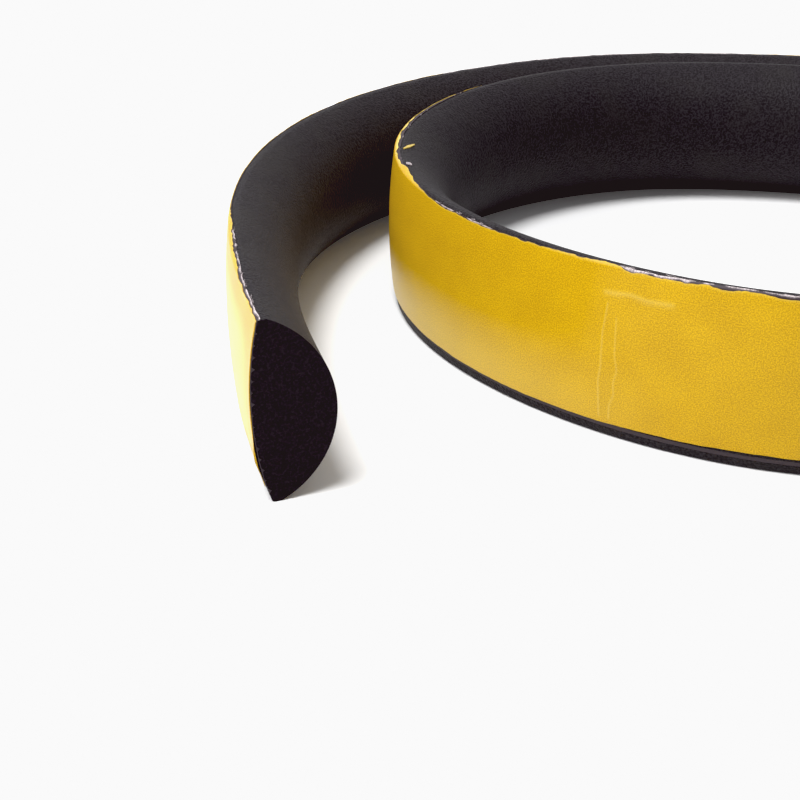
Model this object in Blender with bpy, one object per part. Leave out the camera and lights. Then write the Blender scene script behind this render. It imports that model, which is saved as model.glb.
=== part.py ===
"""Self-adhesive sponge rubber seal strip of half-round section.

One metre of strip stands on its edge in a loose flat coil of not quite two turns. The rounded
side faces the middle of the coil. The flat back faces outwards and carries an adhesive layer
under a paper release liner. The outer end is cut square and stands clear of the coil.
"""

import math

import bpy
import numpy as np

COLLECTION = "sponge_rubber_seal_strip"

# Section of the strip, in metres. The depth is from the middle of the back to the middle of the
# rounded side. A narrow flat land runs along each edge, and the strip stands on one of them.
STRIP_LENGTH = 1.0
STRIP_WIDTH = 0.030
STRIP_DEPTH = 0.0125
BACK_BOW = 0.0015
BACK_CORNER = 0.0005
EDGE_LAND = 0.0008

# Adhesive layer and release liner on the back, in metres.
ADHESIVE_THICKNESS = 0.0002
LINER_THICKNESS = 0.00015
LAYER_GAP = 0.0003
TOP_MARGIN = 0.0005
BOTTOM_MARGIN = 0.0029
LINER_SETBACK = 0.0003

# Plan of the coil, seen from above, in metres and degrees. The angle is the one turned from the
# outer end, clockwise. Each turn lies inside the one before it.
LOOP_RADIUS = 0.0684
START_ANGLE = 222.2
OVAL = (-0.0014, -0.0010)
THREE_LOBE = (-0.0019, 0.0004)
END_FLARE = 0.0368
FLARE_ANGLE = 235.0
FLARE_POWER = 5.5
SIDE_STRETCH = 0.78
STRETCH_FROM = -0.0062
TURN_CLEARANCE = 0.0004

# The inner turn climbs a little off the ground as it passes behind the outer end.
INNER_LIFT = 0.0013
LIFT_FROM = 400.0
LIFT_OVER = 60.0

# Stations along the strip, and points across the rounded side and the back.
STATION_COUNT = 103
ROUND_POINTS = 13
BACK_POINTS = 6

BUILD_UP = 2 * LAYER_GAP + ADHESIVE_THICKNESS + LINER_THICKNESS
TURN_PITCH = STRIP_DEPTH + BUILD_UP + TURN_CLEARANCE

# The stations run below the middle of the edge land, this far in from the back's corners.
ROUTE_SETBACK = BACK_CORNER + EDGE_LAND / 2


def clear_scene():
    """Removes every object of the scene that is open."""
    for obj in list(bpy.data.objects):
        bpy.data.objects.remove(obj, do_unlink=True)


def plan_at(turned):
    """Gives the points (x, y) that the strip's edges follow, for turned angles in degrees."""
    angle = np.radians(START_ANGLE - turned)
    loop = LOOP_RADIUS + OVAL[0] * np.cos(2 * angle) + OVAL[1] * np.sin(2 * angle)
    loop += THREE_LOBE[0] * np.cos(3 * angle) + THREE_LOBE[1] * np.sin(3 * angle)
    flare = END_FLARE * np.clip(1 - turned / FLARE_ANGLE, 0, None) ** FLARE_POWER
    radius = loop + TURN_PITCH * (1 - turned / 360) + flare
    x, y = radius * np.cos(angle), radius * np.sin(angle)
    stretch = SIDE_STRETCH * np.clip(x - STRETCH_FROM, 0, None) ** 2 / LOOP_RADIUS
    return x + stretch, y


def lift_at(turned):
    """Gives the height of the strip's lower edge for these turned angles."""
    share = np.clip((turned - LIFT_FROM) / LIFT_OVER, 0, 1)
    return INNER_LIFT * share**2 * (3 - 2 * share)


def route():
    """Gives the strip's evenly spaced stations (x, y, z), from the outer end to the inner."""
    turned = np.linspace(0, 3 * 360, 10801)
    x, y = plan_at(turned)
    along = np.concatenate([[0], np.cumsum(np.hypot(np.diff(x), np.diff(y)))])
    at = np.interp(np.linspace(0, STRIP_LENGTH, STATION_COUNT), along, turned)
    return np.column_stack([*plan_at(at), lift_at(at)])


def bow_at(height):
    """Gives how far the back stands out at a height, from a chord through its two edges."""
    return BACK_BOW * (1 - (2 * height / STRIP_WIDTH - 1) ** 2)


def strip_section():
    """Gives the half-round outline: +X is towards the middle of the coil and +Y is up."""
    half = STRIP_WIDTH / 2
    rise = STRIP_DEPTH - BACK_BOW - BACK_CORNER - EDGE_LAND
    radius = (half**2 + rise**2) / (2 * rise)
    reach = math.asin(half / radius)
    around = np.linspace(reach, -reach, ROUND_POINTS)
    rounded_x = BACK_CORNER + EDGE_LAND + rise - radius * (1 - np.cos(around))
    rounded = np.column_stack([rounded_x, half + radius * np.sin(around)])
    heights = np.linspace(BACK_CORNER, STRIP_WIDTH - BACK_CORNER, BACK_POINTS)
    back = np.column_stack([-bow_at(heights), heights])
    lands = ([[BACK_CORNER, 0]], [[BACK_CORNER, STRIP_WIDTH]])
    return np.vstack([lands[0], back, lands[1], rounded]) - (ROUTE_SETBACK, 0)


def layer_section(offset, thickness, low, high):
    """Gives the outline of a thin layer that follows the back at an offset from it."""
    heights = np.linspace(low, high, BACK_POINTS)
    near = -bow_at(heights) - offset - ROUTE_SETBACK
    inner = np.column_stack([near, heights])
    outer = np.column_stack([near - thickness, heights])
    return np.vstack([outer, inner[::-1]])


def poly_curve(name, points, closed, dimensions):
    """Makes a curve object of one straight-sided spline."""
    data = bpy.data.curves.new(name, "CURVE")
    data.dimensions = dimensions
    spline = data.splines.new("POLY")
    spline.points.add(len(points) - 1)
    for point, place in zip(spline.points, points):
        point.co = (*place, 1)
    spline.use_cyclic_u = closed
    return bpy.data.objects.new(name, data)


def principled(name, colour, roughness, specular):
    """Makes a plain material of one colour."""
    material = bpy.data.materials.new(name)
    material.use_nodes = True
    shader = material.node_tree.nodes["Principled BSDF"]
    shader.inputs["Base Color"].default_value = (*colour, 1)
    shader.inputs["Roughness"].default_value = roughness
    shader.inputs["Metallic"].default_value = 0
    shader.inputs["Specular IOR Level"].default_value = specular
    material.diffuse_color = (*colour, 1)
    return material


def sweep(name, section, material, parts, helpers):
    """Runs a section along the strip's route, with flat caps at both ends."""
    profile = poly_curve(f"{name}_section", [(x, y, 0) for x, y in section], True, "2D")
    profile.hide_render = True
    profile.display_type = "WIRE"
    helpers.objects.link(profile)
    solid = poly_curve(name, route(), False, "3D")
    solid.data.twist_mode = "Z_UP"
    solid.data.bevel_mode = "OBJECT"
    solid.data.bevel_object = profile
    solid.data.use_fill_caps = True
    solid.data.materials.append(material)
    parts.objects.link(solid)
    return solid


def add_strip(parts, helpers):
    """Adds the half-round strip of sponge rubber."""
    rubber = principled("black sponge rubber", (0.018, 0.017, 0.019), 0.85, 0.3)
    sweep("sponge_strip", strip_section(), rubber, parts, helpers)


def add_adhesive(parts, helpers):
    """Adds the adhesive layer on the strip's back."""
    glue = principled("pale adhesive", (0.72, 0.66, 0.60), 0.6, 0.4)
    section = layer_section(
        LAYER_GAP, ADHESIVE_THICKNESS, BOTTOM_MARGIN, STRIP_WIDTH - TOP_MARGIN
    )
    sweep("adhesive_layer", section, glue, parts, helpers)


def add_liner(parts, helpers):
    """Adds the release liner over the adhesive, a little narrower than it."""
    paper = principled("amber liner paper", (0.78, 0.52, 0.04), 0.4, 0.5)
    section = layer_section(
        2 * LAYER_GAP + ADHESIVE_THICKNESS,
        LINER_THICKNESS,
        BOTTOM_MARGIN,
        STRIP_WIDTH - TOP_MARGIN - LINER_SETBACK,
    )
    sweep("release_liner", section, paper, parts, helpers)


def centre_over_origin(parts):
    """Moves the pieces together, so that the middle of their common box is over the origin."""
    bpy.context.view_layer.update()
    corners = np.array([corner for obj in parts.objects for corner in obj.bound_box])
    middle = (corners.min(axis=0) + corners.max(axis=0)) / 2
    for obj in parts.objects:
        obj.location = (-middle[0], -middle[1], 0)


def main():
    """Builds the coiled strip with its two layers."""
    clear_scene()
    parts = bpy.data.collections.new(COLLECTION)
    helpers = bpy.data.collections.new("sections")
    for collection in (parts, helpers):
        bpy.context.scene.collection.children.link(collection)
    add_strip(parts, helpers)
    add_adhesive(parts, helpers)
    add_liner(parts, helpers)
    centre_over_origin(parts)


if __name__ == "__main__":
    main()
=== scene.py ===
"""Dresses a coiled sponge rubber seal strip: rubber skin, adhesive, liner paper and studio.

The strip stands on its edge in a loose flat coil of not quite two turns. Its rounded side faces
the middle of the coil. Its flat back faces outwards and carries a thin adhesive tape under an
amber release liner. Every size is in metres, in the frame of the CAD model. "Along" is the
distance from the free end along the strip, and "inward" the distance from the path towards the
middle of the coil. "Girth" is the distance up the curve of the back, which equals the height at
half the strip's width.
"""

import logging
import math
from dataclasses import dataclass
from enum import Enum
from typing import Any

import bpy
import numpy as np
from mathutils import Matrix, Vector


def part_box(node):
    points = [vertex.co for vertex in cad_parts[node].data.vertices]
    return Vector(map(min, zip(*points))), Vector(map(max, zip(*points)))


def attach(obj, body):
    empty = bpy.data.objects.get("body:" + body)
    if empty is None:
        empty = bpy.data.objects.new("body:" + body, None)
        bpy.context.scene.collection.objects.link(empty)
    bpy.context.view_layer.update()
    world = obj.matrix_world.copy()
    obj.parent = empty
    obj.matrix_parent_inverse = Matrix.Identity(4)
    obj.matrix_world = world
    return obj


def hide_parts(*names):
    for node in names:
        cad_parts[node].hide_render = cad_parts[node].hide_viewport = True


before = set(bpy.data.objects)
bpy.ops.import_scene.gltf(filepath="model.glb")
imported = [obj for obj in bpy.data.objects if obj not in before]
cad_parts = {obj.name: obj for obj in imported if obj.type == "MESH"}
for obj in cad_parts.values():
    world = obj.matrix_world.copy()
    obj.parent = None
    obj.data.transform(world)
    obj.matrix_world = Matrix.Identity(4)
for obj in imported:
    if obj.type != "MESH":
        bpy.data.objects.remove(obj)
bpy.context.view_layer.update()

LOG = logging.getLogger("seal_strip")
MM = 0.001
BODY = "root"

# Edges that turn by more than this many degrees are drawn sharp.
SHARP_ANGLE = 35.0

# The camera's curve: scene light that it shows as its darkest tone, that tone in red, green and
# blue, and the brightness that it clips at.
BLACK_POINT = 0.023
DARKEST = (0.0105, 0.0068, 0.0075)
CLIPPED_WHITE = 0.955

Array = np.ndarray


class Slot(Enum):
    """The record's material slots."""

    SPONGE = "sponge_rubber"
    ADHESIVE = "adhesive"
    PAPER = "liner_paper"


def linear_colour(code: str) -> tuple[float, float, float, float]:
    """Turns an sRGB hex colour to linear light.

    Args:
        code: Six hex digits after a hash sign.

    Returns:
        Red, green and blue in linear light, and an alpha of 1.
    """
    shares = [int(code[place : place + 2], 16) / 255 for place in (1, 3, 5)]
    light = [c / 12.92 if c <= 0.04045 else ((c + 0.055) / 1.055) ** 2.4 for c in shares]
    return (light[0], light[1], light[2], 1.0)


def add_node(tree: Any, kind: str, inputs: dict[Any, Any], **settings: Any) -> Any:
    """Adds one shader node with its options, constants and links.

    Args:
        tree: The material's node tree.
        kind: The node's type, without its prefix.
        inputs: Constants or output sockets, by input name or number.
        settings: Options of the node.

    Returns:
        The node.
    """
    node = tree.nodes.new(f"ShaderNode{kind}")
    for option, value in settings.items():
        setattr(node, option, value)
    for key, value in inputs.items():
        if isinstance(value, bpy.types.NodeSocket):
            tree.links.new(value, node.inputs[key])
        else:
            node.inputs[key].default_value = value
    return node


def blank_material(name: str) -> tuple[Any, Any, Any]:
    """Makes a material with an empty Principled shader.

    Args:
        name: The material's common name.

    Returns:
        The material, its node tree and its shader node.
    """
    material = bpy.data.materials.new(name)
    material.use_nodes = True
    tree = material.node_tree
    return material, tree, tree.nodes["Principled BSDF"]


def read_attribute(tree: Any, name: str, output: str) -> Any:
    """Gives a socket, Vector or Fac, with a value that each point of the piece carries."""
    return add_node(tree, "Attribute", {}, attribute_name=name).outputs[output]


def noise(tree: Any, place: Any, size: float, detail: float = 2.0, roughness: float = 0.5) -> Any:
    """Adds a noise pattern.

    Args:
        tree: The material's node tree.
        place: The socket that the pattern follows.
        size: Size of its lumps.
        detail: Number of finer layers.
        roughness: Share of each finer layer.

    Returns:
        The socket of the noise, from 0 to 1.
    """
    inputs = {"Vector": place, "Scale": 1 / size, "Detail": detail, "Roughness": roughness}
    return add_node(tree, "TexNoise", inputs).outputs[0]


def spread(
    tree: Any, value: Any, low: float, high: float, least: float = 0.0, most: float = 1.0
) -> Any:
    """Stretches the values between two limits over a new range and clamps the rest.

    Args:
        tree: The material's node tree.
        value: The socket of the values.
        low: Lower limit.
        high: Upper limit.
        least: What the lower limit becomes.
        most: What the upper limit becomes.

    Returns:
        The socket of the result.
    """
    inputs = {"Value": value, "From Min": low, "From Max": high, "To Min": least, "To Max": most}
    return add_node(tree, "MapRange", inputs).outputs[0]


def blend(tree: Any, share: Any, first: Any, second: Any) -> Any:
    """Mixes two colours.

    Args:
        tree: The material's node tree.
        share: The socket that tells how much of the second colour shows.
        first: A hex colour or a socket.
        second: A hex colour or a socket.

    Returns:
        The socket of the mixed colour.
    """
    ends = [linear_colour(end) if isinstance(end, str) else end for end in (first, second)]
    inputs = {0: share, 6: ends[0], 7: ends[1]}
    return add_node(tree, "Mix", inputs, data_type="RGBA").outputs[2]


def emboss(tree: Any, shader: Any, height: Any, strength: float, distance: float) -> None:
    """Presses a pattern into the surface.

    Args:
        tree: The material's node tree.
        shader: The material's shader node.
        height: The socket of the pattern.
        strength: Strength of the bump.
        distance: Height of the bump.
    """
    inputs = {"Strength": strength, "Distance": distance, "Height": height}
    bump = add_node(tree, "Bump", inputs).outputs[0]
    tree.links.new(bump, shader.inputs["Normal"])


def dress(tree: Any, shader: Any, colour: Any, constants: dict[str, Any]) -> None:
    """Gives a shader its colour and the values that are the same all over.

    Args:
        tree: The material's node tree.
        shader: The material's shader node.
        colour: The socket of the colour.
        constants: Values by the name of the shader's socket.
    """
    tree.links.new(colour, shader.inputs["Base Color"])
    for name, value in constants.items():
        shader.inputs[name].default_value = value


def wander(places: Array, spacing: float, seed: int) -> Array:
    """Gives smooth random values between -1 and 1 along a line.

    A random value stands at each multiple of the spacing, and a raised cosine joins neighbours.

    Args:
        places: Distances along the line.
        spacing: Distance between two random values.
        seed: Picks the row of random values.

    Returns:
        One value for each place.
    """
    cells = places / spacing
    low = np.floor(cells).astype(int)
    row = np.random.default_rng(seed).uniform(-1, 1, low.max() - low.min() + 2)
    share = 0.5 - 0.5 * np.cos(np.pi * (cells - low))
    start = low - low.min()
    return row[start] * (1 - share) + row[start + 1] * share


@dataclass(frozen=True)
class Wobble:
    """A smooth random wander along the strip: its size, its spacing and its seed."""

    size: float
    spacing: float
    seed: int

    def at(self, along: Array) -> Array:
        """Gives the wander's value at each place."""
        return self.size * wander(along, self.spacing, self.seed)


def window(places: Array, start: float, end: float, fade: float) -> Array:
    """Gives 1 between two places and 0 outside them, with straight fades at both ends."""
    return np.clip((places - start) / fade, 0, 1) * np.clip((end - places) / fade, 0, 1)


def taper(share: Array, blunt: float) -> Array:
    """Gives half a sine wave from 0 to 1, cut off by a share at both ends to leave them blunt."""
    return np.sin(np.pi * (blunt + (1 - 2 * blunt) * share))


def ring_quads(stations: int, ring: int) -> Array:
    """Joins closed rings of points, one for each station, with quads.

    A point's number is its station times the ring's count, plus its place on the ring.

    Args:
        stations: Number of rings.
        ring: Points on each ring.

    Returns:
        Four point numbers for each quad.
    """
    start = np.arange(stations - 1)[:, None] * ring
    place = np.arange(ring)[None, :]
    after = (place + 1) % ring
    corners = (start + place, start + after, start + ring + after, start + ring + place)
    return np.stack(corners, axis=-1).reshape(-1, 4)


def tube_faces(stations: int, ring: int, start: int = 0) -> list[list[int]]:
    """Gives the faces of a closed tube: quads between its rings, and a cap at each end.

    Args:
        stations: Number of rings.
        ring: Points on each ring.
        start: Number of the tube's first point.

    Returns:
        Point numbers of each face. The first cap runs backwards, so that both face outwards.
    """
    faces = (ring_quads(stations, ring) + start).tolist()
    last = start + (stations - 1) * ring
    faces.append(list(range(start, start + ring))[::-1])
    faces.append(list(range(last, last + ring)))
    return faces


def make_piece(name: str, points: Array, faces: list[list[int]]) -> Any:
    """Makes a closed mesh object that rides with the strip.

    Args:
        name: The piece's name.
        points: Points in the CAD frame.
        faces: Point numbers of each face, with the outside on the left-hand turn.

    Returns:
        The object.
    """
    mesh = bpy.data.meshes.new(name)
    mesh.from_pydata(points.reshape(-1, 3), [], faces)
    mesh.polygons.foreach_set("use_smooth", np.ones(len(faces), bool))
    mesh.set_sharp_from_angle(angle=math.radians(SHARP_ANGLE))
    piece = bpy.data.objects.new(name, mesh)
    bpy.context.scene.collection.objects.link(piece)
    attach(piece, BODY)
    LOG.info("%s: %d points, %d faces", name, points.size // 3, len(faces))
    return piece


def add_attribute(piece: Any, name: str, kind: str, values: Array) -> None:
    """Stores one value for each point of a piece.

    Args:
        piece: The mesh object.
        name: The attribute's name.
        kind: FLOAT or FLOAT_VECTOR.
        values: The values, in the order of the points.
    """
    layer = piece.data.attributes.new(name, kind, "POINT")
    layer.data.foreach_set("value" if kind == "FLOAT" else "vector", values.astype(float).ravel())


@dataclass(frozen=True)
class MouldedSkin:
    """Closed-cell EPDM sponge, extruded and cured.

    The cured skin is matt charcoal with a grain as fine as paper, a little dusty, so light that
    grazes it turns it grey.
    """

    dark: str = "#151317"
    light: str = "#2c2a2e"
    bloom: str = "#2c2b2a"
    grain: float = 0.40 * MM
    grain_height: float = 0.3 * MM
    blotch: float = 9 * MM
    roughness: float = 0.58
    specular: float = 0.18
    sheen: float = 0.04

    def material(self) -> Any:
        """Makes the skin's material. The grain is drawn coarser than the real one, to show.

        Returns:
            The material.
        """
        material, tree, shader = blank_material("EPDM sponge, moulded skin")
        place = add_node(tree, "TexCoord", {}).outputs["Object"]
        grain = noise(tree, place, self.grain, detail=1)
        blotch = noise(tree, place, self.blotch)
        tone = blend(tree, spread(tree, grain, 0.40, 0.60), self.dark, self.light)
        dusty = spread(tree, blotch, 0.45, 0.75, most=0.45)
        emboss(tree, shader, grain, 0.8, self.grain_height)
        constants = {
            "Roughness": self.roughness,
            "Specular IOR Level": self.specular,
            "Sheen Weight": self.sheen,
            "Sheen Roughness": 0.5,
        }
        dress(tree, shader, blend(tree, dusty, tone, self.bloom), constants)
        return material


@dataclass(frozen=True)
class CutSponge:
    """The same sponge where a knife has opened its cells.

    The open cells swallow light, so the cut is nearly black with a warm purple cast and a few
    grey specks.
    """

    dark: str = "#252127"
    light: str = "#302d31"
    cell: float = 0.30 * MM
    cell_depth: float = 0.08 * MM
    mottle: float = 0.36 * MM
    roughness: float = 0.95
    specular: float = 0.05

    def material(self) -> Any:
        """Makes the cut's material. The cells are drawn at twice their size, to show.

        Returns:
            The material.
        """
        material, tree, shader = blank_material("EPDM sponge, knife cut")
        place = add_node(tree, "TexCoord", {}).outputs["Object"]
        cells = add_node(tree, "TexVoronoi", {"Vector": place, "Scale": 1 / self.cell}).outputs[0]
        mottle = spread(tree, noise(tree, place, self.mottle), 0.42, 0.65)
        emboss(tree, shader, cells, 0.7, self.cell_depth)
        constants = {"Roughness": self.roughness, "Specular IOR Level": self.specular}
        dress(tree, shader, blend(tree, mottle, self.dark, self.light), constants)
        return material


@dataclass(frozen=True)
class TissueTape:
    """Acrylic adhesive on a tissue carrier, slit and then torn along its edge.

    The adhesive is a dull lilac grey over the black rubber. Where it has torn, the tissue shows
    as a broken white line.
    """

    glue: str = "#3a3238"
    tissue: str = "#dccfd1"
    fibre: float = 0.25 * MM
    fibre_height: float = 0.05 * MM
    roughness: float = 0.6
    specular: float = 0.4

    def material(self) -> Any:
        """Makes the tape's material. The attribute "torn" tells how much white tissue shows.

        Returns:
            The material.
        """
        material, tree, shader = blank_material("acrylic adhesive on tissue, torn")
        place = read_attribute(tree, "strip_place", "Vector")
        torn = read_attribute(tree, "torn", "Fac")
        fibres = noise(tree, place, self.fibre)
        ragged = spread(tree, fibres, 0.35, 0.65, least=0.3, most=1.2)
        shown = add_node(
            tree, "Math", {0: ragged, 1: torn}, operation="MULTIPLY", use_clamp=True
        ).outputs[0]
        emboss(tree, shader, fibres, 0.6, self.fibre_height)
        constants = {"Roughness": self.roughness, "Specular IOR Level": self.specular}
        dress(tree, shader, blend(tree, shown, self.glue, self.tissue), constants)
        return material


@dataclass(frozen=True)
class AmberGlassine:
    """Yellow glassine release paper, silicone coated.

    The paper is a deep amber with the fine cloudy grain of its fibres. The silicone gives it a
    soft sheen. Creases and rubbed places show paler, and so do patches of painted reflection.
    """

    deep: str = "#aa8001"
    bright: str = "#e9be0a"
    # The pale tone of creases and torn edges, also used for the painted reflections.
    crease: str = "#f2db78"
    fibre: float = 0.22 * MM
    fibre_height: float = 0.02 * MM
    fibre_share: float = 0.65
    cloud: float = 7 * MM
    cloud_share: float = 0.12
    roughness: float = 0.42
    specular: float = 0.1
    coat: float = 0.45
    coat_roughness: float = 0.3

    def material(self) -> Any:
        """Makes the paper's material. The attribute "crease" tells where it is paler.

        Returns:
            The material.
        """
        material, tree, shader = blank_material("glassine release paper, silicone coated")
        place = read_attribute(tree, "strip_place", "Vector")
        # Paler where the paper is creased or torn, and where reflections are painted in.
        pale_and_painted_reflection = read_attribute(tree, "crease", "Fac")
        fibres = noise(tree, place, self.fibre, detail=3, roughness=0.65)
        speckle = spread(tree, fibres, 0.38, 0.62)
        cloudy = spread(tree, noise(tree, place, self.cloud), 0.3, 0.7, most=self.cloud_share)
        share = add_node(
            tree, "Math", {0: speckle, 1: self.fibre_share, 2: cloudy}, operation="MULTIPLY_ADD"
        ).outputs[0]
        paper = blend(tree, share, self.deep, self.bright)
        emboss(tree, shader, fibres, 0.25, self.fibre_height)
        constants = {
            "Roughness": self.roughness,
            "Specular IOR Level": self.specular,
            "Coat Weight": self.coat,
            "Coat Roughness": self.coat_roughness,
        }
        dress(tree, shader, blend(tree, pale_and_painted_reflection, paper, self.crease), constants)
        return material


@dataclass(frozen=True)
class MattBoard:
    """White coated board for the studio's floor, lit a little from below like a light table."""

    white: str = "#f4f4f4"
    shade: str = "#f1f1f2"
    cloud: float = 1 / 12
    roughness: float = 0.6
    specular: float = 0.3
    glow: float = 0.05

    def material(self) -> Any:
        """Makes the board's material.

        Returns:
            The material.
        """
        material, tree, shader = blank_material("white coated board")
        place = add_node(tree, "TexCoord", {}).outputs["Object"]
        colour = blend(tree, noise(tree, place, self.cloud), self.white, self.shade)
        constants = {
            "Roughness": self.roughness,
            "Specular IOR Level": self.specular,
            "Emission Color": (1, 1, 1, 1),
            "Emission Strength": self.glow,
        }
        dress(tree, shader, colour, constants)
        return material


@dataclass(frozen=True)
class CoilPath:
    """The line that the strip's lower edge follows, as in the CAD model.

    The plan's values, down to the lift's, are the CAD model's. The rest are small changes of the
    section along the way, which are too small for the solid.

    Attributes:
        foot_height: Height over which the lift grows from nothing to all.
        foot_half: Inward distance over which it does the same.
        back_ease: How much flatter the back is, away from the free end.
        swell_run: How soon it is as flat as that.
        cut_slant: How far the cut's foot stands forward of its top.
        slant_run: How soon that dies away.
        overhang: How far the cut stands out past the path's start.
        spring: How far the top of the free end springs outwards.
        spring_run: How soon that dies away.
        shift: Moves the plan to the CAD model's place.
    """

    length: float = 1.0
    loop_radius: float = 0.0684
    start_angle: float = 222.2
    oval: tuple[float, float] = (-0.0014, -0.0010)
    three_lobe: tuple[float, float] = (-0.0019, 0.0004)
    end_flare: float = 0.0368
    flare_angle: float = 235.0
    flare_power: float = 5.5
    side_stretch: float = 0.78
    stretch_from: float = -0.0062
    turn_pitch: float = 0.01385
    strip_width: float = 0.030
    inner_lift: float = 0.0013
    lift_from: float = 400.0
    lift_over: float = 60.0
    foot_height: float = 0.005
    foot_half: float = 0.0004
    back_ease: float = 0.0004
    swell_run: float = 0.005
    cut_slant: float = 0.0008
    slant_run: float = 0.012
    overhang: float = 0.0006
    spring: float = 0.0006
    spring_run: float = 0.009
    shift: tuple[float, float] = (0.0, 0.0)

    def plan(self, turned: Array) -> tuple[Array, Array]:
        """Gives the plan of the coil.

        The radius is a loop with small two- and three-lobed waves, less one turn's pitch for
        each turn, plus a flare that dies away from the free end. The right-hand side is then
        stretched by the square of its distance from a line.

        Args:
            turned: Angles turned from the free end, in degrees.

        Returns:
            The x and y of each angle.
        """
        angle = np.radians(self.start_angle - turned)
        radius = self.loop_radius + self.turn_pitch * (1 - turned / 360)
        radius = radius + self.oval[0] * np.cos(2 * angle) + self.oval[1] * np.sin(2 * angle)
        radius = radius + self.three_lobe[0] * np.cos(3 * angle)
        radius = radius + self.three_lobe[1] * np.sin(3 * angle)
        fade = np.clip(1 - turned / self.flare_angle, 0, None) ** self.flare_power
        radius = radius + self.end_flare * fade
        x, y = radius * np.cos(angle), radius * np.sin(angle)
        past = np.clip(x - self.stretch_from, 0, None)
        x = x + self.side_stretch * past**2 / self.loop_radius
        return x + self.shift[0], y + self.shift[1]

    def turned_at(self, along: Array) -> Array:
        """Gives the angles turned, in degrees, at distances along the plan.

        The plan is measured in steps of a twentieth of a degree, from just before its start.

        Args:
            along: Distances from the path's start.

        Returns:
            The angle at each distance.
        """
        turned = np.linspace(-5, 3 * 360, 21701)
        x, y = self.plan(turned)
        run = np.concatenate([[0], np.cumsum(np.hypot(np.diff(x), np.diff(y)))])
        run -= np.interp(0, turned, run)
        return np.interp(along, run, turned)

    def place(self, along: Array, inward: Array, height: Array) -> Array:
        """Carries section points along the coil.

        A point goes from the path towards the middle of the coil by its inward distance, and
        up by its height and by the strip's lift there. The lift fades out near the back's foot,
        so that the foot tilts and its back stays on the floor. The back lies a little flatter
        than the section says and swells out at the cut end, by a parabola over the height. The
        cut leans: its foot stands forward of its top, and that dies away along the strip. The
        top of the free end also springs outwards a little. The strip's direction at a station
        is the one between two points of the plan, a nudge of some degrees before and after it.

        Args:
            along: Distance from the free end of each station, n of them.
            inward: Inward distance of each point, n by m.
            height: Height of each point, n by m.

        Returns:
            The points, n by m by 3.
        """
        at = self.turned_at(along)
        x, y = self.plan(at)
        nudge = 0.2
        before, after = np.array(self.plan(at - nudge)), np.array(self.plan(at + nudge))
        ahead = (after - before) / np.hypot(*(after - before))
        share = np.clip((at - self.lift_from) / self.lift_over, 0, 1)
        lift = self.inner_lift * share**2 * (3 - 2 * share)
        risen = np.maximum(height / self.foot_height, inward / self.foot_half)
        lift = lift[:, None] * np.clip(risen, 0, 1)
        middle = 1 - (2 * height / self.strip_width - 1) ** 2
        swell = self.back_ease * (1 - 2 * np.exp(-along / self.swell_run))[:, None]
        inward = inward + swell * middle * (inward < 0)
        spring = self.spring * np.exp(-along / self.spring_run)[:, None]
        inward = inward - spring * height / self.strip_width
        slant = self.cut_slant * np.exp(-along / self.slant_run)[:, None]
        forward = -slant * (1 - height / self.strip_width)
        east = x[:, None] + inward * ahead[1][:, None] + forward * ahead[0][:, None]
        north = y[:, None] - inward * ahead[0][:, None] + forward * ahead[1][:, None]
        return np.stack([east, north, height + lift], axis=-1)


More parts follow.
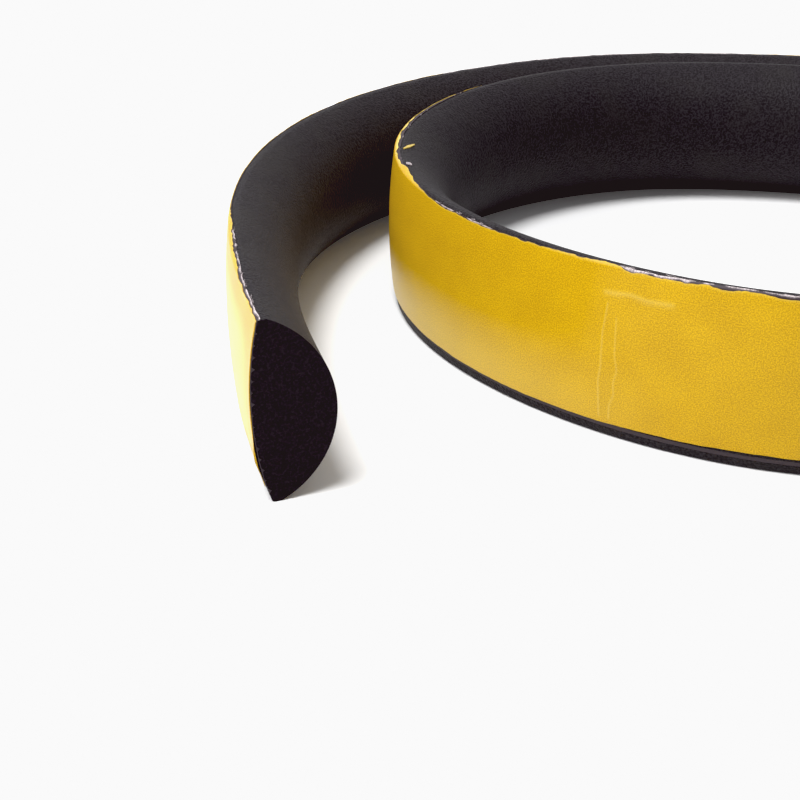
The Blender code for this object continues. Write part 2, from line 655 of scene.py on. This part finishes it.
@dataclass(frozen=True)
class HalfRound:
    """The strip's section, in inward distance from the path and height above the ground."""

    width: float = 0.030
    depth: float = 0.0125
    back_bow: float = 0.0015
    corner: float = 0.0005
    land: float = 0.0008
    grooves: int = 15
    groove_pitch: float = 0.00185
    groove_width: float = 0.00085
    groove_depth: float = 0.00055
    back_points: int = 301
    corner_points: int = 24

    @property
    def setback(self) -> float:
        """Distance of the back's corners behind the path."""
        return self.corner + self.land / 2

    @property
    def arc(self) -> tuple[float, float]:
        """Rise of the rounded side over its two lands, and its radius from rise and width."""
        rise = self.depth - self.back_bow - self.corner - self.land
        return rise, ((self.width / 2) ** 2 + rise**2) / (2 * rise)

    def groove_places(self) -> Array:
        """Gives the height of each groove's bottom."""
        order = np.arange(self.grooves) - (self.grooves - 1) / 2
        return self.width / 2 + order * self.groove_pitch

    def smooth_back(self) -> tuple[Array, Array]:
        """Gives the back as a dense line, from the lower land over both corners to the upper.

        Between the corners it is a parabola that bows outwards. Each corner is a quarter of an
        ellipse between the parabola and the land.

        Returns:
            The points (inward, height), and the unit normals that point away from the coil.
        """
        half = self.width / 2
        flat = np.linspace(self.corner, self.width - self.corner, self.back_points)
        bow = -self.back_bow * (1 - (flat / half - 1) ** 2)
        reach = self.corner - bow[0]
        turn = np.linspace(0, math.pi / 2, self.corner_points, endpoint=False)
        low_x = self.corner - reach * np.sin(turn)
        low_z = self.corner - self.corner * np.cos(turn)
        x = np.concatenate([low_x, bow, low_x[::-1]]) - self.setback
        z = np.concatenate([low_z, flat, self.width - low_z[::-1]])
        along_x, along_z = np.gradient(x), np.gradient(z)
        normal = np.stack([-along_z, along_x], axis=-1)
        normal /= np.linalg.norm(normal, axis=1, keepdims=True)
        return np.stack([x, z], axis=-1), normal

    def on_back(self, girth: Array, offset: Array | float) -> tuple[Array, Array]:
        """Gives points over the back and the two lands by their distance along the curve.

        Args:
            girth: Distance along the curve. At half the width it equals the height.
            offset: Distance outwards from the rubber.

        Returns:
            The inward distances and the heights.
        """
        line, normal = self.smooth_back()
        lap = self.land / 2
        line = np.concatenate([[[lap, 0]], line, [[lap, self.width]]])
        normal = np.concatenate([[[0, -1]], normal, [[0, 1]]])
        run = np.concatenate([[0], np.cumsum(np.hypot(*np.diff(line, axis=0).T))])
        run += self.width / 2 - run[-1] / 2
        x = np.interp(girth, run, line[:, 0]) + offset * np.interp(girth, run, normal[:, 0])
        z = np.interp(girth, run, line[:, 1]) + offset * np.interp(girth, run, normal[:, 1])
        return x, z

    def grooved_back(self) -> tuple[Array, Array]:
        """Gives the back with a V cut in at each groove.

        Each groove has a point at its bottom and at both of its edges, and there is one half
        way between neighbours. Each corner has every fourth of the smooth line's points.

        Returns:
            The inward distances and the heights, from bottom to top.
        """
        line, _ = self.smooth_back()
        corners = line[: self.corner_points : 4, 1]
        edge = self.groove_width / self.groove_pitch / 2
        steps = np.array([-0.5, -edge, 0.0, edge])
        places = self.groove_places()[:, None] + steps * self.groove_pitch
        last = self.groove_places()[-1] + self.groove_pitch / 2
        z = np.concatenate([corners, places.ravel(), [last], self.width - corners[::-1]])
        x = np.interp(z, line[:, 1], line[:, 0])
        gap = np.abs(z[:, None] - self.groove_places()).min(axis=1)
        x += self.groove_depth * np.clip(1 - gap / (self.groove_width / 2), 0, None)
        return x, z

    def rounded_side(self, count: int) -> tuple[Array, Array]:
        """Gives the rounded side: an arc between the two lands.

        Args:
            count: Number of points.

        Returns:
            The inward distances and the heights, from bottom to top.
        """
        half = self.width / 2
        rise, radius = self.arc
        reach = math.asin(half / radius)
        around = np.linspace(-reach, reach, count)
        x = self.land / 2 + rise - radius * (1 - np.cos(around))
        return x, half + radius * np.sin(around)

    def upper_height(self, inward: Array) -> Array:
        """Gives the height of the upper half of the rounded side, from the arc's circle.

        Args:
            inward: Inward distances from the path.

        Returns:
            The height at each distance, which is the full width on the land.
        """
        rise, radius = self.arc
        cosine = 1 - (self.land / 2 + rise - inward) / radius
        return np.minimum(self.width / 2 + radius * np.sqrt(1 - cosine**2), self.width)


@dataclass(frozen=True)
class TornEdge:
    """A stretch of the tape's upper edge where the tissue shows past the paper.

    Attributes:
        start: Where it starts, from the free end.
        end: Where it ends.
        bare: How far the tape shows above the paper.
        white: Share of that band, from its top, that is white tissue.
        shreds: Loose shreds of tissue in each metre.
    """

    start: float
    end: float
    bare: float
    white: float
    shreds: float


@dataclass(frozen=True)
class TapeEdges:
    """Where the edges of the adhesive tape and of its liner run on the back.

    Attributes:
        top: Girth of the tape's upper edge.
        bottom: Girth of the lower edge of both.
        paper_setback: How far the paper's upper edge sits below the tape's.
        drifts: How far the upper and the lower edge sit off their lines: along, upper, lower.
        torn: The torn stretches of the upper edge.
        torn_fade: How far a torn stretch fades at its ends, for the bare band and its white.
        top_rough: Roughness of the tape's upper edge.
        bare_rough: Unevenness of the bare band, as a share of it.
        white_mean: Middle of the white share's unevenness.
        white_rough: That unevenness.
        nicks: Where the paper's upper edge is nicked.
        nick_least: How strong a nick has to be to show.
        nick_depth: Depth of the deepest nick.
        fuzz: Roughness of the paper's upper edge.
        scallops: Waves of the lower edge.
    """

    top: float = 0.0300
    bottom: float = 0.0030
    paper_setback: float = 0.00010
    drifts: tuple[tuple[float, float, float], ...] = (
        (0.0, 0.0003, 0.0),
        (0.015, 0.0003, 0.0),
        (0.022, 0.0006, 0.0),
        (0.036, 0.0006, 0.0),
        (0.05, 0.0, 0.0),
        (0.3, 0.0001, 0.0),
        (0.55, 0.0, 0.0002),
        (0.567, 0.0003, 0.0001),
        (0.575, 0.0001, -0.0001),
        (0.59, 0.0001, -0.0005),
        (0.61, -0.0003, -0.0005),
        (0.63, -0.0002, -0.0005),
        (0.635, 0.0002, -0.0004),
        (0.641, 0.0005, -0.0004),
        (0.6445, 0.0009, -0.0004),
        (0.6465, 0.0006, -0.0004),
        (0.66, 0.0009, -0.0003),
        (0.69, 0.0007, 0.0),
        (0.71, -0.0003, 0.0),
        (1.0, -0.0003, 0.0),
    )
    torn: tuple[TornEdge, ...] = (
        TornEdge(-0.004, 0.036, 0.00028, 0.45, 900),
        TornEdge(0.150, 0.230, 0.00020, 0.45, 250),
        TornEdge(0.340, 0.430, 0.00020, 0.45, 250),
        TornEdge(0.545, 0.573, 0.00035, 0.35, 500),
        TornEdge(0.572, 0.586, 0.00030, 0.7, 900),
        TornEdge(0.611, 0.628, 0.00015, 0.7, 500),
        TornEdge(0.646, 0.700, 0.00035, 0.08, 150),
        TornEdge(0.780, 0.860, 0.00020, 0.2, 150),
    )
    torn_fade: tuple[float, float] = (0.002, 0.001)
    top_rough: tuple[Wobble, ...] = (Wobble(0.00005, 0.0009, 11), Wobble(0.00008, 0.004, 12))
    bare_rough: Wobble = Wobble(0.35, 0.0021, 13)
    white_mean: float = 0.75
    white_rough: Wobble = Wobble(1.0, 0.0011, 14)
    nicks: Wobble = Wobble(1.0, 0.0013, 15)
    nick_least: float = 0.25
    nick_depth: float = 0.00014
    fuzz: Wobble = Wobble(0.00005, 0.0006, 16)
    scallops: tuple[Wobble, ...] = (Wobble(0.00007, 0.0035, 17), Wobble(0.00003, 0.0011, 18))

    def drift(self, along: Array, edge: int) -> Array:
        """Gives how far the tape's upper edge (1) or lower edge (2) sits off its line."""
        table = np.array(self.drifts)
        return np.interp(along, table[:, 0], table[:, edge])

    def tape_top(self, along: Array) -> Array:
        """Gives the girth of the tape's upper edge."""
        rough = sum(wobble.at(along) for wobble in self.top_rough)
        return self.top + self.drift(along, 1) + rough

    def bare(self, along: Array) -> Array:
        """Gives how far the tape shows above the paper."""
        shown = sum(t.bare * window(along, t.start, t.end, self.torn_fade[0]) for t in self.torn)
        return self.paper_setback + shown * (1 + self.bare_rough.at(along))

    def white(self, along: Array) -> Array:
        """Gives the share of the bare band that is white tissue."""
        share = sum(t.white * window(along, t.start, t.end, self.torn_fade[1]) for t in self.torn)
        return np.clip(share * (self.white_mean + self.white_rough.at(along)), 0, 1)

    def paper_top(self, along: Array) -> Array:
        """Gives the girth of the liner's upper edge, a ragged line."""
        nicks = self.nick_depth * np.clip(self.nicks.at(along) - self.nick_least, 0, None)
        return self.tape_top(along) - self.bare(along) - nicks + self.fuzz.at(along)

    def paper_bottom(self, along: Array) -> Array:
        """Gives the girth of the lower edge, slightly scalloped by the slitting knife."""
        scallop = sum(wobble.at(along) for wobble in self.scallops)
        return self.bottom + self.drift(along, 2) + scallop


@dataclass
class SpongeStrip:
    """The extruded sponge rubber strip: grooved back, rounded inner side and two cut ends."""

    path: CoilPath
    section: HalfRound
    spacing: float = 0.0025

    def points(self) -> tuple[Array, int]:
        """Sweeps the section along the coil.

        Returns:
            The points, station by station round the section, and the count up each side.
        """
        count = round(self.path.length / self.spacing) + 1
        along = np.linspace(-self.path.overhang, self.path.length, count)
        back_x, back_z = self.section.grooved_back()
        round_x, round_z = self.section.rounded_side(len(back_x))
        x = np.concatenate([back_x, round_x[::-1]])[None, :]
        z = np.concatenate([back_z, round_z[::-1]])[None, :]
        wide = np.ones((len(along), 1))
        return self.path.place(along, x * wide, z * wide), len(back_x)

    def build(self) -> Any:
        """Builds and dresses the strip.

        Both cuts are closed by quads that join the back to the rounded side, level by level.

        Returns:
            The strip's object.
        """
        points, levels = self.points()
        stations, ring = points.shape[:2]
        sides = ring_quads(stations, ring)
        level = np.arange(levels - 1)
        across = ring - 1 - level
        first = np.stack([level, across, across - 1, level + 1], axis=-1)
        last = (stations - 1) * ring + first[:, ::-1]
        faces = np.concatenate([sides, first, last])
        piece = make_piece("sponge_rubber_strip", points, faces.tolist())
        piece.data.materials.append(MouldedSkin().material())
        piece.data.materials.append(CutSponge().material())
        finish = np.zeros(len(faces), int)
        finish[len(sides) :] = 1
        piece.data.polygons.foreach_set("material_index", finish)
        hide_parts("sponge_strip")
        return piece


@dataclass
class AdhesiveTape:
    """The adhesive tape on the back, and the ribs of adhesive that fill the grooves.

    Attributes:
        thickness: How far the tape's outer side stands off the rubber.
        sunk: How far its inner side does.
        shown: Depth below the upper edge that has close levels, as it shows past the paper.
        shown_levels: Number of those levels.
        hidden: Depths of the levels under the paper.
        tuck: How far the tape reaches below the paper.
        white_reach: Where the white ends, as a share of its band. It fades over the whole band.
        least_white: White share below which none shows.
        rib_stations: Number of stations along each rib.
        rib_fill: Smallest and largest share of its groove that a rib fills.
        rib_seed: Picks those shares.
    """

    path: CoilPath
    section: HalfRound
    edges: TapeEdges
    thickness: float = 0.00018
    sunk: float = 0.00001
    shown: float = 0.0012
    shown_levels: int = 13
    hidden: tuple[float, ...] = (0.004, 0.008, 0.013, 0.018, 0.023)
    tuck: float = 0.0001
    white_reach: float = 1.3
    least_white: float = 0.12
    rib_stations: int = 251
    rib_fill: tuple[float, float] = (0.45, 0.92)
    rib_seed: int = 31

    def build(self, along: Array) -> Any:
        """Builds the tape as a closed thin sheet.

        Args:
            along: Stations, from the free end.

        Returns:
            The tape's object.
        """
        depth = np.concatenate([np.linspace(0, self.shown, self.shown_levels), self.hidden])
        top, bottom = self.edges.tape_top(along), self.edges.paper_bottom(along) - self.tuck
        outer = np.maximum(top[:, None] - depth[None, ::-1], bottom[:, None])
        outer = np.concatenate([bottom[:, None], outer], axis=1)
        inner = outer[:, ::-1]
        out_x, out_z = self.section.on_back(outer, self.thickness)
        in_x, in_z = self.section.on_back(inner, self.sunk)
        x = np.concatenate([out_x, in_x], axis=1)
        z = np.concatenate([out_z, in_z], axis=1)
        points = self.path.place(along, x, z)
        piece = make_piece("adhesive_tape", points, tube_faces(*x.shape))
        girth = np.concatenate([outer, inner], axis=1)
        white = self.edges.white(along)
        band = np.maximum(white * self.edges.bare(along), 1e-6)
        torn = np.clip(self.white_reach - (top[:, None] - girth) / band[:, None], 0, 1)
        torn *= white[:, None] > self.least_white
        place = np.stack([along[:, None] + 0 * girth, girth, 0 * girth], axis=-1)
        add_attribute(piece, "torn", "FLOAT", torn)
        add_attribute(piece, "strip_place", "FLOAT_VECTOR", place)
        piece.data.materials.append(TissueTape().material())
        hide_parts("adhesive_layer")
        return piece

    def build_ribs(self, material: Any) -> Any:
        """Builds the ribs of adhesive in the grooves, each a slim triangle swept along.

        They fill their grooves unevenly.

        Args:
            material: The tape's material.

        Returns:
            The ribs' object.
        """
        along = np.linspace(-self.path.overhang, self.path.length, self.rib_stations)
        wide = np.ones((len(along), 1))
        line, _ = self.section.smooth_back()
        draw = np.random.default_rng(self.rib_seed)
        points, faces = [], []
        for order, height in enumerate(self.section.groove_places()):
            fill = draw.uniform(*self.rib_fill)
            reach = fill * self.section.groove_width / 2
            z = np.array([height - reach, height + reach, height])
            x = np.interp(z, line[:, 1], line[:, 0]) + self.sunk
            x[2] += fill * self.section.groove_depth
            points.append(self.path.place(along, x * wide, z * wide).reshape(-1, 3))
            faces += tube_faces(len(along), 3, order * len(along) * 3)
        places = np.concatenate(points)
        piece = make_piece("adhesive_ribs", places, faces)
        add_attribute(piece, "torn", "FLOAT", np.zeros(len(places)))
        add_attribute(piece, "strip_place", "FLOAT_VECTOR", places)
        piece.data.materials.append(material)
        return piece


@dataclass
class TornShreds:
    """Loose shreds of tissue and paper along the tape's torn edge.

    Attributes:
        offset: How far a shred's root stands off the rubber.
        thickness: Thickness of a shred.
        margins: Lengths at the free end and at the inner end that have none.
        length: Shortest and longest length.
        width: Smallest and largest width.
        blunt: How blunt the ends are, as a share of the length.
        above: How far a shred's root stands above the tape's edge.
        rise: Lowest and highest rise of the tip.
        jitter: Unevenness of that rise.
        curl: How far a tip curls off the rubber, at most.
        pale: Darkest and palest shade.
        rings: Points along a shred.
        seed: Picks the shreds.
    """

    path: CoilPath
    section: HalfRound
    edges: TapeEdges
    offset: float = 0.00012
    thickness: float = 0.00005
    margins: tuple[float, float] = (0.0002, 0.004)
    length: tuple[float, float] = (0.0004, 0.0014)
    width: tuple[float, float] = (0.00005, 0.00012)
    blunt: float = 0.12
    above: float = 0.0001
    rise: tuple[float, float] = (-0.0003, 0.00016)
    jitter: float = 0.00008
    curl: float = 0.00015
    pale: tuple[float, float] = (0.2, 0.8)
    rings: int = 6
    seed: int = 5

    def build(self, material: Any) -> Any:
        """Builds the shreds, each a tapered flat sliver that wanders off the tape's edge.

        Args:
            material: The tape's material.

        Returns:
            The shreds' object.
        """
        draw = np.random.default_rng(self.seed)
        starts = np.concatenate(
            [draw.uniform(t.start, t.end, int((t.end - t.start) * t.shreds)) for t in self.edges.torn]
        )
        inside = (starts > self.margins[0]) & (starts < self.path.length - self.margins[1])
        starts = starts[inside][:, None]
        count = len(starts)
        share = np.linspace(0, 1, self.rings)[None, :]
        length = draw.uniform(*self.length, (count, 1))
        width = draw.uniform(*self.width, (count, 1)) * taper(share, self.blunt)
        rise = draw.uniform(*self.rise, (count, 1)) + draw.normal(0, self.jitter, (count, self.rings))
        off = self.offset + draw.uniform(0.0, self.curl, (count, 1)) * share**2
        along = starts + length * share
        root = self.edges.tape_top(along.ravel()).reshape(along.shape) + self.above
        girth = root + rise * share
        up = np.array([-1, 0, 1, 0])
        out = np.array([0, 1, 0, -1])
        x, z = self.section.on_back(
            girth[:, :, None] + up * width[:, :, None] / 2,
            off[:, :, None] + out * self.thickness / 2,
        )
        ring = len(up)
        points = self.path.place(along.ravel(), x.reshape(-1, ring), z.reshape(-1, ring))
        faces = []
        for order in range(count):
            faces += tube_faces(self.rings, ring, order * self.rings * ring)
        piece = make_piece("torn_tissue_shreds", points, faces)
        white = np.repeat(draw.uniform(*self.pale, count), self.rings * ring)
        add_attribute(piece, "torn", "FLOAT", white)
        add_attribute(piece, "strip_place", "FLOAT_VECTOR", points.reshape(-1, 3))
        piece.data.materials.append(material)
        return piece


@dataclass(frozen=True)
class Flake:
    """A torn scrap that clings to the rounded side, just inside the strip's upper edge.

    Attributes:
        along: Where it starts, from the free end.
        inward: Where it starts, from the path.
        reach: How far it goes inwards.
        skew: How far it goes along the strip.
        width: Its widest width.
        pale: How pale it is.
        slot: Paper or adhesive.
        rings: Points along it.
        blunt: How blunt its ends are, as a share of its length.
        ragged: Unevenness of its width, as a share of it.
        faces: How far its upper and its lower face stand off the rubber.
        curl: How far its tip curls up.
    """

    along: float
    inward: float
    reach: float
    skew: float
    width: float
    pale: float
    slot: Slot
    rings: int = 8
    blunt: float = 0.1
    ragged: Wobble = Wobble(0.25, 0.13, 41)
    faces: tuple[float, float] = (0.00022, 0.00006)
    curl: float = 0.00012

    def build(self, name: str, path: CoilPath, section: HalfRound, material: Any) -> Any:
        """Builds the flake as a closed, ragged sliver.

        Args:
            name: The piece's name.
            path: The coil's path.
            section: The strip's section.
            material: The finish of the paper or of the tape.

        Returns:
            The flake's object.
        """
        share = np.linspace(0, 1, self.rings)
        ragged = 1 - self.ragged.size + self.ragged.at(share)
        half = self.width / 2 * taper(share, self.blunt) * ragged
        across = np.array([1.0, -1.0, -1.0, 1.0]) * half[:, None] / math.hypot(self.reach, self.skew)
        above = np.repeat(self.faces, 2) + self.curl * share[:, None] ** 2
        along = self.along + self.skew * share[:, None] + across * self.reach
        inward = self.inward + self.reach * share[:, None] - across * self.skew
        height = section.upper_height(inward) + above
        points = path.place(along.ravel(), inward.reshape(-1, 1), height.reshape(-1, 1))
        piece = make_piece(name, points, tube_faces(*along.shape))
        place = np.stack([along, inward, 0 * along], axis=-1)
        add_attribute(piece, "strip_place", "FLOAT_VECTOR", place)
        white = "torn" if self.slot is Slot.ADHESIVE else "crease"
        add_attribute(piece, white, "FLOAT", np.full(along.size, self.pale))
        piece.data.materials.append(material)
        return piece


@dataclass(frozen=True)
class Crease:
    """A fold line in the liner.

    Attributes:
        places: Its points, each as along and girth.
        height: Height of its ridge.
        half_width: Half its width.
    """

    places: tuple[tuple[float, float], ...]
    height: float
    half_width: float

    def strength(self, along: Array, girth: Array) -> Array:
        """Gives how folded the paper is: a bell curve over the distance from the nearest leg.

        Args:
            along: Distance of each point along the strip.
            girth: Girth of each point.

        Returns:
            From 0, flat, to 1 on the fold line.
        """
        line = np.array(self.places)
        nearest = np.full(girth.shape, 1.0)
        for start, end in zip(line[:-1], line[1:]):
            leg = end - start
            share = ((along - start[0]) * leg[0] + (girth - start[1]) * leg[1]) / (leg @ leg)
            share = np.clip(share, 0, 1)
            apart = np.hypot(along - start[0] - share * leg[0], girth - start[1] - share * leg[1])
            nearest = np.minimum(nearest, apart)
        return np.exp(-((nearest / self.half_width) ** 2))


@dataclass(frozen=True)
class PalePatch:
    """A place where the paper is paler.

    Attributes:
        start: Where it starts, from the free end.
        end: Where it ends.
        fade: How far it fades in at both.
        low: Girth of its lower edge.
        high: Girth of its upper edge.
        feather: How far it fades in at both.
        pale: How pale it is.
    """

    start: float
    end: float
    fade: float
    low: float
    high: float
    feather: float
    pale: float

    def over(self, along: Array, girth: Array) -> Array:
        """Gives how much the patch pales each point."""
        length = window(along, self.start, self.end, self.fade)
        return self.pale * length * window(girth, self.low, self.high, self.feather)


@dataclass
class ReleaseLiner:
    """The amber release paper over the tape: ragged upper edge, creases and a bulge at the cut.

    Attributes:
        lift: How far its inner side stands off the rubber.
        thickness: Its thickness.
        levels: Number of levels on the lower and on the upper part of its outer side.
        split: Where these parts end and start, as shares of its width.
        inner_levels: Number of levels on its inner side.
        wave: How it waves off the tape.
        bulge: Girth, half width and height of the bulge, and how far along it reaches.
        creases: Its fold lines.
        crease_pale: How pale a fold line is.
        torn_pale: How pale its torn upper edge is.
        torn_depth: How deep that edge is.
        patches: Where it is rubbed at the torn edge, and painted reflections that make it paler
        near the free end and low down further along.
    """

    path: CoilPath
    section: HalfRound
    edges: TapeEdges
    lift: float = 0.00019
    thickness: float = 0.00012
    levels: tuple[int, int] = (36, 20)
    split: tuple[float, float] = (0.84, 0.848)
    inner_levels: int = 9
    wave: Wobble = Wobble(0.00003, 0.006, 21)
    bulge: tuple[float, float, float, float] = (0.0078, 0.0022, 0.0004, 0.010)
    creases: tuple[Crease, ...] = (
        Crease(((0.5876, 0.0256), (0.5834, 0.0261), (0.5808, 0.0257), (0.5768, 0.0259)), 6e-5, 4e-4),
        Crease(
            ((0.5870, 0.0240), (0.5874, 0.0190), (0.5872, 0.0130), (0.5875, 0.0105), (0.5871, 0.0036)),
            9e-5,
            1.6e-4,
        ),
        Crease(
            ((0.5853, 0.0215), (0.5850, 0.0155), (0.5844, 0.0128), (0.5849, 0.0106), (0.5847, 0.0084),
             (0.5854, 0.0062), (0.5854, 0.0036)),
            7e-5,
            1.5e-4,
        ),
    )
    crease_pale: float = 0.2
    torn_pale: float = 0.25
    torn_depth: float = 0.0003
    patches: tuple[PalePatch, ...] = (
        PalePatch(0.646, 0.700, 0.003, 0.0301, 0.0400, 0.0003, 0.6),
        # Painted reflection: paler paper near the free end, where bright light glances off the liner.
        PalePatch(0.002, 0.045, 0.012, 0.0030, 0.0270, 0.0050, 0.7),
        # Painted reflection of the bright floor: paler paper low down on this stretch.
        PalePatch(0.575, 0.700, 0.050, -0.0100, 0.0150, 0.0090, 0.3),
    )

    def grid(self, along: Array) -> Array:
        """Gives the girth of each point, up the outer side and down the inner.

        Args:
            along: Stations, from the free end.

        Returns:
            The girths, station by station.
        """
        top, bottom = self.edges.paper_top(along), self.edges.paper_bottom(along)
        low = np.linspace(0, self.split[0], self.levels[0])
        high = np.linspace(self.split[1], 1, self.levels[1])
        shares = np.concatenate([low, high, np.linspace(1, 0, self.inner_levels)])
        return bottom[:, None] + (top - bottom)[:, None] * shares[None, :]

    def build(self, along: Array) -> Any:
        """Builds the liner as a closed thin sheet on the tape.

        Args:
            along: Stations, from the free end.

        Returns:
            The liner's object.
        """
        girth = self.grid(along)
        station = along[:, None] + 0 * girth
        folds = np.array([crease.strength(station, girth) for crease in self.creases])
        heights = np.array([crease.height for crease in self.creases])[:, None, None]
        middle, half, height, end = self.bulge
        bulge = np.exp(-((girth - middle) / half) ** 2) * window(station, -2 * end, end, end)
        offset = self.lift + (heights * folds).max(axis=0) + height * bulge
        offset = offset + self.wave.at(along)[:, None]
        outside = (np.arange(girth.shape[1]) < sum(self.levels))[None, :]
        x, z = self.section.on_back(girth, offset + self.thickness * outside)
        points = self.path.place(along, x, z)
        piece = make_piece("release_liner_paper", points, tube_faces(*x.shape))
        below = self.edges.paper_top(along)[:, None] - girth
        pale = self.crease_pale * folds.max(axis=0)
        pale += self.torn_pale * np.clip(1 - below / self.torn_depth, 0, 1)
        # Patches: worn paper at the torn edge, and painted reflections near the free end and low down.
        pale += sum(patch.over(station, girth) for patch in self.patches)
        add_attribute(piece, "crease", "FLOAT", pale)
        add_attribute(piece, "strip_place", "FLOAT_VECTOR", np.stack([station, girth, 0 * girth], -1))
        piece.data.materials.append(AmberGlassine().material())
        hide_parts("release_liner")
        return piece


@dataclass(frozen=True)
class Lamp:
    """A round soft light that faces the strip."""

    name: str
    place: tuple[float, float, float]
    size: float
    power: float

    def build(self) -> None:
        """Builds the light and turns it towards the origin."""
        data = bpy.data.lights.new(self.name, "AREA")
        data.shape = "DISK"
        data.size = self.size
        data.energy = self.power
        light = bpy.data.objects.new(self.name, data)
        light.location = self.place
        east, north, up = self.place
        tilt = math.atan2(math.hypot(east, north), up)
        light.rotation_euler = (tilt, 0, math.atan2(-east, north) + math.pi)
        bpy.context.scene.collection.objects.link(light)


@dataclass
class Studio:
    """A white floor, soft light from above and from the left, and the camera.

    Attributes:
        floor_size: Length of the floor's sides.
        camera_place: Where the camera is.
        camera_pitch: Its tilt up from straight down, in degrees.
        lens: Its focal length, in millimetres.
        sensor: Width of its sensor, in millimetres.
        sky: Mean brightness of the sky.
        sky_lean: How much brighter the sky is on each side, as a share of its mean.
        lamps: The lamps.
    """

    floor_size: float = 8.0
    camera_place: tuple[float, float, float] = (-0.08814, -0.25089, 0.1079)
    camera_pitch: float = 62.0
    lens: float = 59.58
    sensor: float = 36.0
    sky: float = 0.55
    sky_lean: tuple[float, float, float] = (-0.25, 0.9, 0.0)
    lamps: tuple[Lamp, ...] = (
        Lamp("key", (-0.35, -0.32, 1.38), 0.6, 21.0),
        Lamp("side", (-1.15, -0.2, 0.8), 0.8, 9.0),
    )

    def build(self) -> None:
        """Builds the floor, the lights and the camera."""
        corners = np.array([[-1, -1, 0], [1, -1, 0], [1, 1, 0], [-1, 1, 0]]) * self.floor_size / 2
        mesh = bpy.data.meshes.new("floor")
        mesh.from_pydata(corners, [], [[0, 1, 2, 3]])
        floor = bpy.data.objects.new("floor", mesh)
        bpy.context.scene.collection.objects.link(floor)
        mesh.materials.append(MattBoard().material())
        self.light_sky()
        for lamp in self.lamps:
            lamp.build()
        self.add_camera()

    def light_sky(self) -> None:
        """Sets a white sky, brighter on one side."""
        world = bpy.data.worlds.new("soft studio")
        world.use_nodes = True
        tree = world.node_tree
        way = add_node(tree, "TexCoord", {}).outputs["Generated"]
        lean = add_node(
            tree, "VectorMath", {0: way, 1: self.sky_lean}, operation="DOT_PRODUCT"
        ).outputs["Value"]
        strength = add_node(
            tree, "Math", {0: lean, 1: self.sky, 2: self.sky}, operation="MULTIPLY_ADD"
        ).outputs[0]
        tree.nodes["Background"].inputs["Color"].default_value = (1, 1, 1, 1)
        tree.links.new(strength, tree.nodes["Background"].inputs["Strength"])
        bpy.context.scene.world = world

    def add_camera(self) -> None:
        """Sets the camera that looks down on the coil from its free end's side."""
        data = bpy.data.cameras.new("camera")
        data.lens = self.lens
        data.sensor_width = self.sensor
        data.clip_start = 0.01
        camera = bpy.data.objects.new("camera", data)
        camera.location = self.camera_place
        camera.rotation_euler = (math.radians(self.camera_pitch), 0, 0)
        bpy.context.scene.collection.objects.link(camera)
        bpy.context.scene.camera = camera


# The two scraps that cling to the inner turn's rubber where it passes the free end.
PAPER_FLAKE = Flake(
    along=0.6572, inward=0.0006, reach=0.0019, skew=0.0058, width=0.0006, pale=0.5, slot=Slot.PAPER
)
TISSUE_FLAKE = Flake(
    along=0.6472, inward=0.0004, reach=0.0009, skew=0.0014, width=0.0013, pale=0.8, slot=Slot.ADHESIVE
)


def settled_path(section: HalfRound) -> CoilPath:
    """Puts the path where the CAD strip is, so that both have the same middle.

    Args:
        section: The strip's section.

    Returns:
        The path in the CAD frame.
    """
    points, _ = SpongeStrip(CoilPath(overhang=0, spring=0, cut_slant=0), section).points()
    low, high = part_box("sponge_strip")
    flat = points.reshape(-1, 3)
    middle = (flat.min(axis=0) + flat.max(axis=0)) / 2
    target = (np.array(low) + np.array(high)) / 2
    return CoilPath(shift=(float(target[0] - middle[0]), float(target[1] - middle[1])))


def tape_stations(start: float, length: float) -> Array:
    """Gives stations that stand close where the tape's edge and its creases show detail.

    Each span has a start, an end and the step between its stations.

    Args:
        start: Where the strip's free end is.
        length: The strip's length.

    Returns:
        Distances from the free end, in order.
    """
    spans = (
        (start, 0.11, 0.0004),
        (0.11, 0.54, 0.0016),
        (0.54, 0.583, 0.0004),
        (0.583, 0.589, 0.00012),
        (0.589, 0.70, 0.0004),
        (0.70, length, 0.0016),
    )
    runs = [np.linspace(a, b, round((b - a) / step), endpoint=False) for a, b, step in spans]
    return np.append(np.concatenate(runs), length)


def set_exposure_curve() -> None:
    """Sets a straight camera curve that clips a bright floor to an even near white."""
    view = bpy.context.scene.view_settings
    view.view_transform = "Standard"
    view.use_curve_mapping = True
    view.curve_mapping.extend = "HORIZONTAL"
    for curve, darkest in zip(view.curve_mapping.curves, DARKEST):
        curve.points[0].location = (BLACK_POINT, darkest)
        curve.points[1].location = (1.0, CLIPPED_WHITE)
    view.curve_mapping.update()


def main() -> None:
    """Builds the dressed strip and its studio."""
    logging.basicConfig(level=logging.INFO, format="%(message)s")
    section = HalfRound()
    path = settled_path(section)
    edges = TapeEdges()
    along = tape_stations(-path.overhang, path.length)
    SpongeStrip(path, section).build()
    tape = AdhesiveTape(path, section, edges)
    glue = tape.build(along).data.materials[0]
    tape.build_ribs(glue)
    TornShreds(path, section, edges).build(glue)
    paper = ReleaseLiner(path, section, edges).build(along).data.materials[0]
    PAPER_FLAKE.build("paper_flake", path, section, paper)
    TISSUE_FLAKE.build("tissue_flake", path, section, glue)
    Studio().build()
    set_exposure_curve()


if __name__ == "__main__":
    main()
